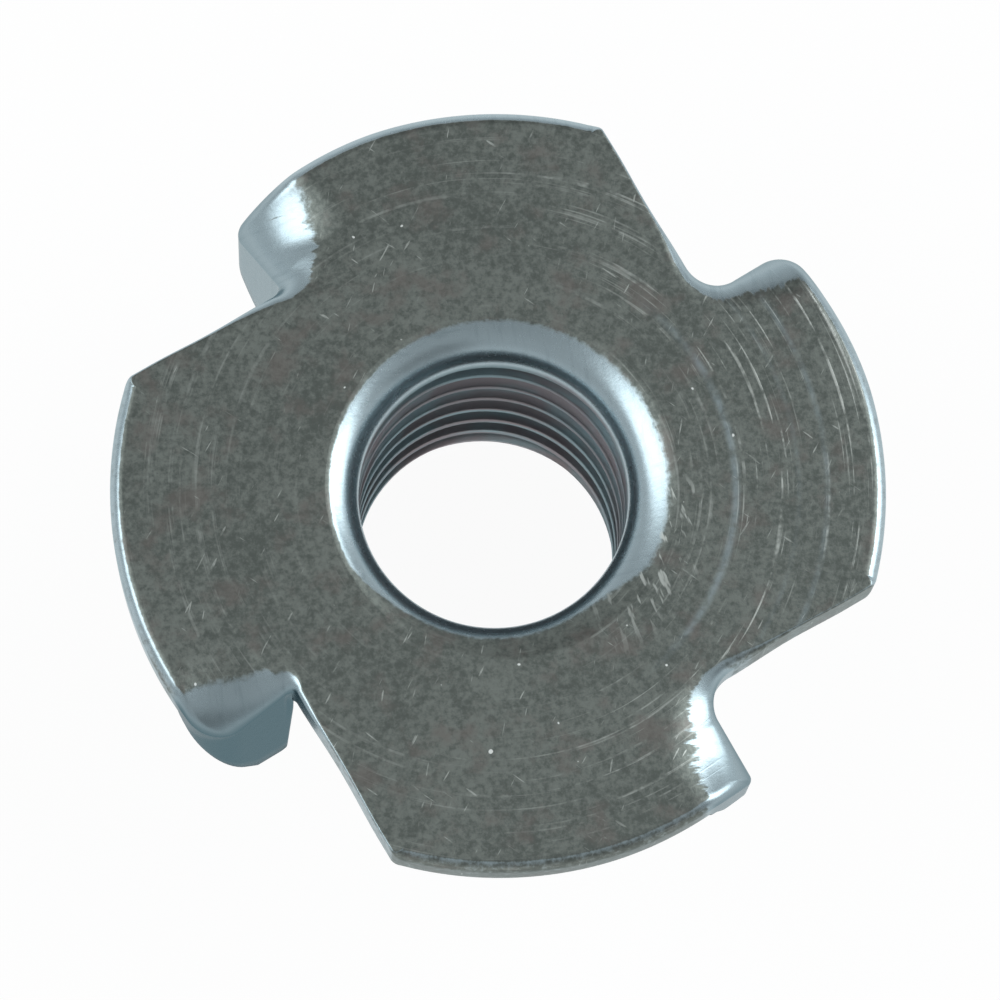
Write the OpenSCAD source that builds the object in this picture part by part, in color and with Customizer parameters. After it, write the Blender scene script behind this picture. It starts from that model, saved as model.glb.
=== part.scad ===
// Tee nut for an M8 screw, pressed from one piece of steel sheet.
// The sheet is drawn down into a barrel, which is threaded inside, and stays flat around it as a flange.
// Four slanted slits in the flange's edge free four prongs, which are bent down beside the barrel.
// The barrel's axis is Z, the nut stands on the barrel's end at Z = 0, and the flange is on top.

/* [Screw thread] */
// Nominal diameter of the screw
thread_d = 8; // [7:0.25:8.5]
// Rise of the thread in one turn
thread_pitch = 1.25; // [1:0.25:1.5]

/* [Barrel] */
// Outside diameter of the barrel
barrel_d = 10; // [9.4:0.1:11]
// Height of the nut, from the barrel's end to the flange's outer face
nut_h = 11; // [8:0.5:20]
// Radius of the drawn mouth, where the flange's outer face turns into the bore
mouth_r = 0.95; // [0.4:0.05:1.2]
// Radius between the barrel and the flange's inner face
neck_r = 0.8; // [0.2:0.1:1.2]
// How much the bore widens, on each side, at the barrel's end
lead_w = 0.3; // [0.1:0.05:0.5]
// Height of that widening, which leads the screw in
lead_h = 1.5; // [0.5:0.1:2.5]
// Bevel at the barrel's lower outer edge
barrel_bevel = 0.3; // [0.1:0.05:0.5]

/* [Flange] */
// Diameter of the flange
flange_d = 19; // [18:0.5:24]
// Thickness of the steel sheet
sheet_t = 1.5; // [1:0.1:1.8]
// Rounding of the rim's upper and lower edges
rim_r = 0.35; // [0.1:0.05:0.45]
// Rounding of each lobe's corner, seen from above
corner_r = 0.4; // [0.1:0.05:0.8]
// How far the flange sits off the barrel's axis, to the right
flange_off_x = 0.11; // [-0.2:0.01:0.2]
// How far the flange sits off the barrel's axis, to the back
flange_off_y = 0.04; // [-0.2:0.01:0.2]

/* [Slits] */
// Number of slits and prongs
prong_n = 4; // [3:1:4]
// Direction of the first lobe's corner, where a slit leaves the rim
corner_turn = 74.8; // [60:0.1:90]
// Turn from that corner back to the slit's inner end
slit_turn = 29.6; // [26:0.1:34]
// Distance of the slit's inner end from the flange's centre
slit_end_r = 7.05; // [6.8:0.05:7.4]

/* [Prongs] */
// Turn of the bend line from the direction across the slit's inner end
bend_turn = 55; // [50:1:64]
// How far the bend line passes inside the slit's inner end
bend_in = 0.35; // [0:0.05:0.5]
// Angle that the prong is bent through
bend_angle = 88; // [80:1:90]
// Outer radius of the bend at its slit end
bend_r = 0.2; // [0.1:0.05:0.4]
// Angle at which the bend widens towards the rim
bend_widening = 20; // [10:1:24]
// Depth of the prong's tip under the flange's outer face
prong_h = 5.35; // [4:0.05:6.5]
// Thickness of the prong, thinned a little by the bending
prong_t = 1.35; // [0.9:0.05:1.4]
// Lean of the prong's slit side towards the rim, below the sheet
prong_lean = 5.5; // [0:0.5:8]
// Slope of the prong's tip, which rises towards the rim
tip_slope = 39; // [20:1:60]
// How far the prong's outer side stays inside the flange's rim
prong_inset = 0.1; // [0:0.05:0.4]
// Rounding of the prong's point
tip_r = 0.25; // [0.1:0.05:0.5]

/* [Hidden] */
$fn = 96;
slack = 1;                              // overlap of a cutting shape past the face it cuts
bore_d = thread_d - 1.0825 * thread_pitch; // crest diameter of an ISO metric inside thread
bore_r = bore_d / 2;
barrel_r = barrel_d / 2;
flange_r = flange_d / 2;
prong_step = 360 / prong_n;
slit_end_turn = corner_turn - slit_turn;
corner = flange_r * [cos(corner_turn), sin(corner_turn)];
slit_end = slit_end_r * [cos(slit_end_turn), sin(slit_end_turn)];
slit_dir = (corner - slit_end) / norm(corner - slit_end);
slit_side = [-slit_dir.y, slit_dir.x];  // points into the lobe
bend_dir_turn = slit_end_turn - 90 + bend_turn;
bend_dir = [cos(bend_dir_turn), sin(bend_dir_turn)];
bend_out = [-bend_dir.y, bend_dir.x];   // points out of the flange, across the bend line
bend_start = slit_end - bend_out * bend_in;
bend_len = ray_to_circle(bend_start, bend_dir, flange_r);
bend_apex = bend_r / sin(bend_widening);
corner_c = corner_centre();

// Distance from p, along the unit vector d, to the circle of radius r about the centre
function ray_to_circle(p, d, r) = -p * d + sqrt(pow(p * d, 2) - p * p + r * r);

// Centre of a lobe's corner rounding: corner_r inside the rim and corner_r from the slit's edge
function corner_centre() =
    let (start = slit_end + slit_side * corner_r)
    start + slit_dir * ray_to_circle(start, slit_dir, flange_r - corner_r);

// A point of the flange as seen from the bend line: X along it from its start, Y out of the flange
function in_bend(p) = [(p - bend_start) * bend_dir, (p - bend_start) * bend_out];

// Section of the bore, its lead-in and the drawn mouth, right of the axis
module bore_section() {
    lead_slope = lead_w / lead_h;
    translate([0, -slack]) square([bore_r, nut_h + 2 * slack]);
    polygon([[0, -slack], [bore_r + lead_w + slack * lead_slope, -slack], [bore_r, lead_h], [0, lead_h]]);
    difference() {
        translate([0, nut_h - mouth_r]) square([bore_r + mouth_r, mouth_r + slack]);
        translate([bore_r + mouth_r, nut_h - mouth_r]) circle(mouth_r);
    }
}

// Section of the barrel's wall, filled to the axis, with the radius under the flange
module barrel_section() {
    neck_z = nut_h - sheet_t - neck_r;
    difference() {
        square([barrel_r, nut_h - rim_r]);
        translate([barrel_r, 0]) rotate(45) square(barrel_bevel * sqrt(2), center = true);
    }
    difference() {
        translate([barrel_r - slack, neck_z]) square([slack + neck_r, neck_r + sheet_t / 2]);
        translate([barrel_r + neck_r, neck_z]) circle(neck_r);
    }
}

// Section of the flange with its rounded rim
module flange_section() {
    square([flange_r - rim_r, sheet_t]);
    translate([0, rim_r]) square([flange_r, sheet_t - 2 * rim_r]);
    for (z = [rim_r, sheet_t - rim_r]) translate([flange_r - rim_r, z]) circle(rim_r);
}

// Moves what is drawn as seen from the bend line to its place on the flange
module at_bend() {
    translate(bend_start) rotate(bend_dir_turn) children();
}

// Outline of what one slit and its prong take out of the disc, seen from the bend line
module notch_outline() {
    reach = 2 * flange_r;
    corners = [slit_end, bend_start, bend_start + bend_dir * reach, (slit_dir + bend_dir) * reach,
               slit_end + slit_dir * reach];
    polygon([for (p = corners) in_bend(p)]);
}

// What rounds one lobe's corner, seen from the bend line: the corner less the disc that touches its edges
module corner_cut() {
    outwards = corner_c / norm(corner_c);
    slit_point = corner_c - slit_side * corner_r;
    beyond = 2 * corner - corner_c + outwards * slack;
    corners = [corner_c, outwards * (flange_r + slack), beyond, slit_point - slit_side * slack, slit_point];
    difference() {
        polygon([for (p = corners) in_bend(p)]);
        circle_at(in_bend(corner_c), corner_r);
    }
}

module circle_at(c, r) {
    translate(c) circle(r);
}

// Bend of the prong: a sector of a cone whose top line lies in the flange's outer face
module prong_bend() {
    near = 0.02; // cuts the cone's point off
    far = (bend_apex + bend_len + slack) * cos(bend_widening);
    slope = tan(bend_widening);
    translate([-bend_apex, 0, 0]) rotate([0, 90 + bend_widening, 0])
        rotate_extrude(angle = bend_angle, start = 180 - bend_angle)
            polygon([[0, near], [near * slope, near], [far * slope, far], [0, far]]);
}

// Straight leg of the prong: flat sheet turned about the cone's axis with the bend
module prong_leg() {
    translate([-bend_apex, 0, 0]) rotate([0, 90 + bend_widening, 0]) rotate([0, 0, -bend_angle])
        rotate([0, -90 - bend_widening, 0])
            translate([0, 0, -prong_t]) cube([bend_apex + bend_len + prong_h, 2 * prong_h, prong_t]);
}

// Face of the prong from outside: X along the bend line towards the rim, Y up, the slit's end at the origin
module prong_face() {
    reach = bend_len + prong_h;
    tip = [(prong_h - sheet_t) * tan(prong_lean), -prong_h];
    side = [sin(prong_lean), -cos(prong_lean)];
    rise = [cos(tip_slope), sin(tip_slope)];
    // the point is rounded by a disc that touches both of its edges
    half = acos(-side * rise) / 2;
    centre = tip + tip_r / sin(half) * (rise - side) / norm(rise - side);
    touch = tip_r / tan(half);
    difference() {
        polygon([[0, slack], [0, -sheet_t], tip, tip + rise * reach, [reach, slack]]);
        difference() {
            polygon([tip - side * touch, tip + (tip - centre), tip + rise * touch, centre]);
            circle_at(centre, tip_r);
        }
    }
}

// One prong, in the flange's frame with its outer face at Z = 0
module prong() {
    intersection() {
        at_bend() intersection() {
            union() {
                prong_bend();
                prong_leg();
            }
            translate([0, flange_r, 0]) rotate([90, 0, 0]) linear_extrude(2 * flange_r) prong_face();
        }
        translate([0, 0, -nut_h]) cylinder(r = flange_r - prong_inset, h = nut_h + slack);
    }
}

module flange() {
    difference() {
        translate([0, 0, -sheet_t]) rotate_extrude() flange_section();
        for (i = [0 : prong_n - 1]) rotate(i * prong_step) at_bend() translate([0, 0, -sheet_t - slack])
            linear_extrude(sheet_t + 2 * slack) {
                notch_outline();
                corner_cut();
            }
    }
    for (i = [0 : prong_n - 1]) rotate(i * prong_step) prong();
}

module tee_nut() {
    color("#8b9298") difference() {
        union() {
            translate([flange_off_x, flange_off_y, nut_h]) flange();
            rotate_extrude() barrel_section();
        }
        rotate_extrude() bore_section();
    }
}

tee_nut();
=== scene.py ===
"""Zinc-plated tee nut for an M8 screw: the pressed shape, its real thread, worn faces and soft light."""
import math
from dataclasses import dataclass
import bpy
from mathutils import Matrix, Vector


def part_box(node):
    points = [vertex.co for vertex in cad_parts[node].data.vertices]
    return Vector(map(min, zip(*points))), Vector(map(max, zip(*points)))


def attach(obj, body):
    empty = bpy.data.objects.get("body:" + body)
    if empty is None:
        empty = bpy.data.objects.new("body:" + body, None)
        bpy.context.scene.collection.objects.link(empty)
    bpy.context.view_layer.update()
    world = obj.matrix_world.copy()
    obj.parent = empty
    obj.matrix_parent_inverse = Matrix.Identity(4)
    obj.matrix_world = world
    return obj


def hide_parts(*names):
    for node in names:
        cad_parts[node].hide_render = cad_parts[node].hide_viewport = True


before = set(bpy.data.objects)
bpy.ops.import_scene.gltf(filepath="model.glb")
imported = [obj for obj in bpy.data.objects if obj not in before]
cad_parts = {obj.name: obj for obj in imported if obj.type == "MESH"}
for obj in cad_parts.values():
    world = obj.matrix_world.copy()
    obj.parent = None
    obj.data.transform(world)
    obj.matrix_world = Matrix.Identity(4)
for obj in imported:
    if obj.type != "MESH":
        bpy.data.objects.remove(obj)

from types import SimpleNamespace

import bmesh
import bpy
from bpy.props import FloatProperty, FloatVectorProperty, PointerProperty
from mathutils import Matrix, Vector

bl_info = {
    "name": "Tee nut",
    "version": (1, 0, 0),
    "blender": (4, 5, 0),
    "location": "View3D > Sidebar > Tee nut",
    "description": "Builds a zinc-plated four-prong tee nut and a plain stage for it",
    "category": "Object",
}

MM = 0.001
MERGE = 1e-5        # places that are nearer than this, in millimetres, are one
QUARTERS = 4        # the slits and their prongs stand a quarter turn apart

# The nut stands on the barrel's end and the flange is its widest part, so the frame's box gives these sizes,
# in millimetres and to a hundredth.
LOW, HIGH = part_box("tee_nut")
NUT_H = round((HIGH.z - LOW.z) / MM, 2)
FLANGE_D = round((HIGH.x - LOW.x) / MM, 2)
FLANGE_OFF_X = round((HIGH.x + LOW.x) / 2 / MM, 2)
FLANGE_OFF_Y = round((HIGH.y + LOW.y) / 2 / MM, 2)


# ---------------------------------------------------------------- sizes and colours that a user changes
def linear(code):
    """Hex sRGB colour as linear RGBA."""
    parts = [int(code[i:i + 2], 16) / 255 for i in (1, 3, 5)]
    return [c / 12.92 if c <= 0.04045 else ((c + 0.055) / 1.055) ** 2.4 for c in parts] + [1.0]


def length(name, description, size):
    """A length that a user can change, with its default in millimetres."""
    return FloatProperty(name=name, description=description, default=size * MM, precision=5, unit="LENGTH")


def angle(name, description, degrees):
    """An angle that a user can change, with its default in degrees."""
    return FloatProperty(name=name, description=description, default=math.radians(degrees), subtype="ANGLE")


def colour(name, description, code):
    """A colour that a user can change, with its default as hex sRGB."""
    return FloatVectorProperty(name=name, description=description, default=linear(code), size=4, min=0.0,
                               max=1.0, subtype="COLOR")


class TeeNutSizes(bpy.types.PropertyGroup):
    """Sizes of the nut, the same as the frame's"""
    thread_d: length("Thread diameter", "Nominal diameter of the screw", 8.0)
    thread_pitch: length("Thread pitch", "Rise of the thread in one turn", 1.25)
    barrel_d: length("Barrel diameter", "Outside diameter of the barrel", 10.0)
    nut_h: length("Height", "Barrel's end to the flange's outer face", NUT_H)
    mouth_r: length("Mouth radius", "Radius of the drawn mouth", 0.95)
    neck_r: length("Neck radius", "Radius between the barrel and the flange", 0.8)
    lead_w: length("Lead width", "Widening of the bore, on each side, at the barrel's end", 0.3)
    lead_h: length("Lead height", "Height of that widening", 1.5)
    barrel_bevel: length("Barrel bevel", "Bevel of the barrel's lower edge", 0.3)
    flange_d: length("Flange diameter", "Diameter of the flange", FLANGE_D)
    sheet_t: length("Sheet", "Thickness of the steel sheet", 1.5)
    rim_r: length("Rim radius", "Rounding of the rim's upper and lower edges", 0.35)
    corner_r: length("Corner radius", "Rounding of a lobe's corner, seen from above", 0.4)
    flange_off_x: length("Offset X", "Flange's centre to the right of the barrel's axis", FLANGE_OFF_X)
    flange_off_y: length("Offset Y", "Flange's centre behind the barrel's axis", FLANGE_OFF_Y)
    corner_turn: angle("Corner turn", "Direction of the first lobe's corner", 74.8)
    slit_turn: angle("Slit turn", "Turn from that corner back to the slit's inner end", 29.6)
    slit_end_r: length("Slit end", "Slit's inner end from the flange's centre", 7.05)
    bend_turn: angle("Bend turn", "Turn of the bend line from the direction across the slit's end", 55.0)
    bend_in: length("Bend in", "How far the bend line passes inside the slit's end", 0.35)
    prong_t: length("Prong thickness", "Thickness of the prong, thinned by the bending", 1.35)


class TeeNutFinish(bpy.types.PropertyGroup):
    """Colours of the plated steel and of the stage"""
    # the flat's colours are darker than the plate is: partly painted shade
    flat_dark: colour("Flat, dark", "Darker patches of the dull flat face", "#646a66")
    flat_light: colour("Flat, light", "Lighter patches of the dull flat face", "#808681")
    flat_warm: colour("Flat, warm", "Brownish patches of the dull flat face", "#7a7470")
    mark: colour("Marks", "Turned arcs and handling marks", "#c0c5c0")
    nick: colour("Nicks", "Small bright nicks", "#edf0ed")
    # painted sheen: the bends and edges are lighter than the flat partly for the light they would catch
    bright: colour("Burnished", "Bends and edges, smoothed by the press", "#a9b9bf")
    # painted shade, with a bluish patina, low on the prongs; also the colour of stains along the bends'
    # streaks
    patina_shade: colour("Patina", "Bluish patina low on the prongs", "#6a7e85")
    # at a glancing angle the first darkens the prongs' painted shade further
    glance: colour("Glance", "Patina and bore at a glancing angle", "#b2bec2")
    bare_glance: colour("Glance, bare", "Bare plate at a glancing angle", "#e9f1f3")
    bore_cool: colour("Bore, cool", "Teal plate inside the bore", "#a3b6bb")
    bore_warm: colour("Bore, warm", "Purplish brown plate inside the bore", "#a59c9f")
    floor: colour("Floor", "Pale floor", "#f2f2f2")
    sky: colour("Surround", "Colour of the soft surround", "#f9fdff")


def in_millimetres(group):
    """The sizes as plain numbers: lengths in millimetres and angles in degrees."""
    sizes = {}
    for name in group.__annotations__:
        value = getattr(group, name)
        is_angle = group.bl_rna.properties[name].subtype == "ANGLE"
        sizes[name] = round(math.degrees(value) if is_angle else value / MM, 4)
    return SimpleNamespace(**sizes)


# ---------------------------------------------------------------- small helpers
def within(x, low=0.0, high=1.0):
    """x, kept between two limits."""
    return min(high, max(low, x))


def smooth(a, b, x):
    """0 at a and before it, 1 at b and past it, smooth between."""
    t = within((x - a) / (b - a))
    return t * t * (3 - 2 * t)


def mix(a, b, t):
    """a where t is 0, b where it is 1."""
    return a + (b - a) * t


def unit(turn):
    """Unit vector in plan at that turn in degrees."""
    return Vector((math.cos(math.radians(turn)), math.sin(math.radians(turn))))


def direction(p):
    """Turn in degrees of a place in plan."""
    return math.degrees(math.atan2(p[1], p[0]))


def turned(p, degrees):
    """A place in plan, turned about the centre."""
    c = math.cos(math.radians(degrees))
    s = math.sin(math.radians(degrees))
    return Vector((c * p[0] - s * p[1], s * p[0] + c * p[1]))


def ray_to_circle(p, d, r):
    """Distance from p along the unit vector d to the circle of radius r about the centre."""
    pd = p.dot(d)
    return -pd + math.sqrt(pd * pd - p.dot(p) + r * r)


def rounding(d, width, depth, power=2.0):
    """Depth of a rounded edge at a distance d inside it. A lower power starts the rounding more sharply."""
    x = within(1 - d / width) if width > 0 else 0.0
    return depth * (1 - max(0.0, 1 - x ** power) ** (1 / power))


# ---------------------------------------------------------------- the prongs' own shapes
@dataclass
class Prong:
    """One prong as the press left it, in millimetres and degrees. No two of the four are quite alike."""
    notch_r: float          # round of the notch's inner end, seen from above
    arch: float             # most that the bend reaches into the flat
    power: float            # how the bend starts: lower is sharper
    draw: float             # how far the notch's edge is drawn down
    root: float             # how far the outer face stands out from the bend line at the slit
    spread: float           # how much further it stands out for each millimetre towards the rim
    tilt: float             # lean of the leg outwards
    tip: float              # depth of the prong's point below the flange's outer face
    level: float            # slope of the tip up to its knee
    slope: float            # slope of the tip past its knee
    lean: float             # lean of the slit side towards the rim
    shoulder: float         # round between the rim side and the outer face, seen from above
    patina_shade: float             # how much painted shade, with its bluish patina, it has low down
    streak: float           # how strongly streaks run across its bend
    slit_in: float          # how far its slit lies towards the lobe from the nominal one
    rim_in: float = 0.1     # how far the rim is drawn in beside it
    knee: float = 0.0       # distance from the bend line's start to the tip's knee
    curve: float = 0.0      # hollow of the tip past its knee
    edge: float = 0.14      # rounding of its upright slit edge
    edge_steps: int = 3     # stations that this rounding takes


# back right, back left, front left and front right
PRONGS = (
    Prong(notch_r=0.84, arch=0.55, power=2.0, draw=0.42, root=0.054, spread=0.481, tilt=2.0, tip=5.35,
          level=39.0, slope=39.0, lean=5.5, shoulder=0.782, patina_shade=0.35, streak=0.7, slit_in=-0.025),
    Prong(notch_r=0.37, arch=1.15, power=1.6, draw=0.36, root=0.579, spread=0.496, tilt=0.5, tip=6.2,
          level=0.0, slope=60.0, lean=8.0, shoulder=0.37, patina_shade=0.4, streak=1.0, slit_in=-0.113, knee=1.2,
          curve=1.4, edge=0.4, edge_steps=6),
    Prong(notch_r=0.19, arch=1.25, power=1.9, draw=0.22, root=0.329, spread=0.465, tilt=5.5, tip=5.262,
          level=3.75, slope=58.125, lean=4.75, shoulder=0.957, patina_shade=1.0, streak=0.12, slit_in=-0.038,
          rim_in=0.0, knee=1.125, curve=0.2),
    Prong(notch_r=0.9, arch=0.95, power=1.7, draw=0.48, root=0.204, spread=0.414, tilt=0.0, tip=4.862,
          level=44.625, slope=44.625, lean=4.75, shoulder=0.2, patina_shade=0.6, streak=0.9, slit_in=0.05,
          rim_in=0.05),
)

BEND_DEPTH = 1.07       # depth of the bend for the width of its part outside the bend line
PRONG_EDGE = 0.14       # rounding of the prong's lower edges
POINT_R = 0.25          # rounding of the prong's point, seen from outside
BEND_START = 0.3        # how far before the slit the bend begins
TILT_START = 2.0        # depth at which a leg starts to lean outwards, where it has just begun
INNER_ROUND = 0.22      # rounding between the prong's inner face and the sheet's underside
SHORTEST_LEG = 0.06     # what hangs below the sheet where the rim side has just begun
SIDE_GAP = 0.12         # how far outside the prong's inner face its rim side begins
SIDE_EDGE = 0.30        # rounding of the upper edge where the rim side meets the shoulder
RIM_DRAWN = 20.0        # degrees of the rim over which it draws in towards the prong
RIM_LEAN = 14.0         # and over which the fine strip inside it leans over
RIM_CROWDING = 1.25     # how much closer together its stations stand towards the prong
SLIT_CROWDING = 1.5     # and those of the slit's edge, towards the notch
NOTCH_FADE = 1.3        # length of the slit over which its drawn-down edge fades
DRAWN_SHARE = 0.9       # depth of the drawn-down edge for its width
SLIT_EDGE = (0.07, 0.06)    # width and depth of the rounding of the slit's sheared edge
SLIT_POWER = 2.2        # and how it starts
SLIT_HOLLOW = 0.05      # how far the slit's edge is hollow between its ends
NOTCH_UNDER = 0.1       # rounding of the lower edge in the notch
SLIT_UNDER = 0.08       # and along the slit
PAST_BEND = 0.25        # how far the finely divided strip goes on past the start of the bend
FINE_STRIP = 0.42       # width of the finely divided strip inside the rim
LOBE_STRIP = (0.2, 0.385)   # least and greatest width of that strip at the lobe's corner
UNDER_RIM = 0.45        # width of the strip of the underside that follows the rim
UNDER_NOTCH = 0.55      # the notch
UNDER_LOBE = 0.38       # and the lobe's corner

# stations along each stretch of a quarter's edge, and rows across it
N_RIM, N_SIDE, N_SHOULDER, N_FACE, N_NOTCH, N_SLIT, N_LOBE = 44, 20, 14, 26, 20, 34, 10
ROWS_EDGE, ROWS_WALL, ROWS_UNDER_EDGE = 26, 4, 6
ROWS_LEG = (6, 4, 2, 4, 5, 3)   # down the outside, edge, tip, edge, up the inside, and the round at its root


@dataclass
class Edge:
    """One station of the flange's edge: where it is, and how the sheet runs up to it and down from it."""
    kind: str                   # rim, side, face, notch or slit
    at: Vector                  # place of the edge in plan
    inward: Vector              # unit vector in plan, into the sheet
    reach: float                # length of the finely divided strip inside the edge
    width: float                # reach of the upper edge's rounding
    depth: float                # depth of that rounding
    bent: bool = True           # whether the bend reaches the sheet here, on the rim
    leg: float = None           # place along the bend line, where the prong stands below
    grown: float = 1.0          # 0 where the prong's rim side begins, 1 where it is whole
    inset: float = 0.0          # how far the upright slit edge is rounded back here
    under: Vector = None        # the same below the lower edge, where it differs
    under_edge: float = 0.0     # rounding of the lower edge
    strip: float = 0.0          # length of the strip of the underside that follows the edge


# ---------------------------------------------------------------- the flange's edge, seen from above
def strip_for(width, spare=0.08):
    """Length of the finely divided strip that an upper edge's rounding of that width needs."""
    return width * 1.12 + spare


class Slit:
    """One slit and its prong in the first quarter, in plan. The bend line has its own two directions."""

    def __init__(self, s, prong):
        self.s = s
        self.prong = prong
        self.flange_r = s.flange_d / 2
        self.rim_r = self.flange_r - prong.rim_in
        end_turn = s.corner_turn - s.slit_turn
        end = unit(end_turn) * s.slit_end_r
        self.slit_dir = (unit(s.corner_turn) * self.flange_r - end).normalized()
        self.slit_side = Vector((-self.slit_dir.y, self.slit_dir.x))    # points into the lobe
        self.slit_turn = direction(-self.slit_side)
        self.slit_end = end + self.slit_side * prong.slit_in
        self.along = unit(end_turn - 90 + s.bend_turn)                  # along the bend line, to the rim
        self.out = Vector((-self.along.y, self.along.x))                # across it, out of the flange
        self.start = end - self.out * s.bend_in
        self.length = ray_to_circle(self.start, self.along, self.flange_r)
        self.lobe = self.corner_centre(self.slit_end, self.slit_dir, self.slit_side, s.corner_r,
                                       self.flange_r)
        self.lay_face()
        self.lay_notch()
        self.lay_point()

    def corner_centre(self, start, along, side, r, rim_r):
        """Centre of a corner of radius r, between the rim and the line from start along its direction."""
        start = start + side * r
        return start + along * ray_to_circle(start, along, rim_r - r)

    def lay_face(self):
        """The prong's outer face and the shoulder between it and the rim side."""
        prong = self.prong
        self.slant = math.cos(math.atan(prong.spread))
        self.thick = self.s.prong_t / self.slant            # across the bend line
        self.face_dir = (self.along + self.out * prong.spread).normalized()
        self.face_out = Vector((-self.face_dir.y, self.face_dir.x))
        self.face_turn = direction(self.face_out)
        self.base = self.place(0, self.face(0))
        self.shoulder = self.corner_centre(self.base, self.face_dir, -self.face_out, prong.shoulder,
                                           self.rim_r)
        self.shoulder_turn = direction(self.shoulder)
        # along the bend line, where the shoulder has turned into the face
        self.face_start = self.seen(self.shoulder + self.face_out * prong.shoulder)[0]
        self.side_turn = direction(self.side_start())

    def lay_notch(self):
        """The round of the notch's inner end, which touches the prong's face and the slit's edge."""
        corner = self.notch_corner()
        half = math.acos(within(self.face_dir.dot(self.slit_dir), -1.0)) / 2
        cut = self.prong.notch_r / math.tan(half)
        middle = (self.face_dir + self.slit_dir).normalized()
        self.notch = corner + middle * (self.prong.notch_r / math.sin(half))
        self.touch_face = corner + self.face_dir * cut
        self.touch_slit = corner + self.slit_dir * cut
        self.face_end = self.seen(self.touch_face)[0]

    def lay_point(self):
        """The prong's point, seen from outside: a disc that touches the slit side and the tip."""
        lean = math.radians(self.prong.lean)
        level = math.radians(self.prong.level)
        self.point = Vector(((self.prong.tip - self.s.sheet_t) * math.tan(lean), self.prong.tip))
        self.up_side = -Vector((math.sin(lean), math.cos(lean)))
        self.up_tip = Vector((math.cos(level), -math.sin(level)))
        half = math.acos(within(self.up_side.dot(self.up_tip), -1.0)) / 2
        self.point_cut = POINT_R / math.tan(half)
        self.point_disc = self.point + (self.up_tip + self.up_side).normalized() * (POINT_R / math.sin(half))

    def place(self, u, v):
        """Place in plan of what is seen from the bend line at u along it and v out across it."""
        return self.start + self.along * u + self.out * v

    def seen(self, p):
        """The same the other way round: what is seen from the bend line, from a place in plan."""
        q = p - self.start
        return q.dot(self.along), q.dot(self.out)

    def face(self, u):
        """How far the prong's outer face stands out from the bend line."""
        return self.prong.root + self.prong.spread * u

    def drop(self, u):
        """Depth at which the bend is upright."""
        return BEND_DEPTH * self.face(u)

    def arch(self, u):
        """How far the bend reaches into the flat. It begins a little before the slit."""
        share = within((u + BEND_START) / (self.length + BEND_START + 0.15))
        return self.prong.arch * math.sin(math.pi * share)

    def bend_depth(self, p):
        """Depth of the bent face at a place in plan."""
        u, v = self.seen(p)
        u = max(u, -BEND_START)
        width = self.face(u) + self.arch(u)
        return rounding(self.face(u) - v, width, self.drop(u), self.prong.power)

    def surface(self, p):
        """Depth of the outer face at a place in plan, on the bend and round the notch's inner end."""
        prong = self.prong
        # past the notch's end its round gives way to the bend's own shape
        far = smooth(self.face_end - 0.2, self.face_end + 0.9, self.seen(p)[0])
        if far >= 1:
            return self.bend_depth(p)
        towards = self.notch - p
        turn = direction(towards)
        if turn < self.face_turn - 180:
            turn += 360
        t = within((turn - self.face_turn) / (self.slit_turn - self.face_turn))
        foot = self.face_end
        if t <= 0:
            inside = (self.base - p).dot(self.face_out)
            foot = self.seen(p + self.face_out * inside)[0]
        elif t >= 1:
            inside = (p - self.touch_slit).dot(self.slit_side)
        else:
            inside = towards.length - prong.notch_r
        width = mix((self.face(foot) + self.arch(foot)) * self.slant, prong.draw, smooth(0, 1, t))
        depth = mix(self.drop(foot), prong.draw * DRAWN_SHARE, smooth(0, 1, t))
        near = rounding(inside, width, depth, mix(prong.power, SLIT_POWER, t))
        return mix(near, self.bend_depth(p), far)

    def in_leg(self, u, d):
        """Whether the leg, seen from outside, reaches that place along the bend line and that depth."""
        prong = self.prong
        past = max(0.0, u - prong.knee)
        level = math.tan(math.radians(prong.level)) * (u - past - self.point.x)
        slope = math.tan(math.radians(prong.slope)) * past + prong.curve * past ** 2
        if d > prong.tip - level - slope:
            return False
        q = Vector((u, d)) - self.point
        if q.dot(self.up_tip) < self.point_cut and q.dot(self.up_side) < self.point_cut:
            return (Vector((u, d)) - self.point_disc).length <= POINT_R
        return True

    def tip_depth(self, u, lean):
        """Depth of the tip below u, where the leg leans by that much for each millimetre, by halving."""
        low = self.s.sheet_t
        high = self.prong.tip + 0.5
        for _ in range(30):
            d = (low + high) / 2
            if self.in_leg(u + (d - self.s.sheet_t) * lean, d):
                low = d
            else:
                high = d
        return low

    def side_start(self):
        """Where the prong's rim side begins, just outside its inner face, by halving."""
        low, high = 0.5, 4.0
        for _ in range(40):
            u = (low + high) / 2
            p = self.place(u, self.face(u) - self.thick + SIDE_GAP)
            if p.length < self.rim_r:
                low = u
            else:
                high = u
        return p

    def notch_corner(self):
        """Where the lines of the prong's face and of the slit's edge cross."""
        u, v = self.seen(self.slit_end)
        u_step = self.slit_dir.dot(self.along)
        v_step = self.slit_dir.dot(self.out)
        t = (self.face(u) - v) / (v_step - self.prong.spread * u_step)
        return self.slit_end + self.slit_dir * t

    def rim_at(self, turn):
        """Radius of the rim at that turn: the sheet draws in a little where the prong is bent down."""
        return mix(self.flange_r, self.rim_r, smooth(self.side_turn - RIM_DRAWN, self.shoulder_turn, turn))

    def edge_distance(self, p):
        """Distance from a place in plan to the rim or to the prong's rounded shoulder."""
        q = p - self.shoulder
        turn = direction(q)
        if self.shoulder_turn < turn < self.face_turn:
            return self.prong.shoulder - q.length
        if q.dot(self.face_out) > 0 and turn >= self.face_turn:
            return self.prong.shoulder - q.dot(self.face_out)
        return self.rim_at(direction(p)) - p.length

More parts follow.
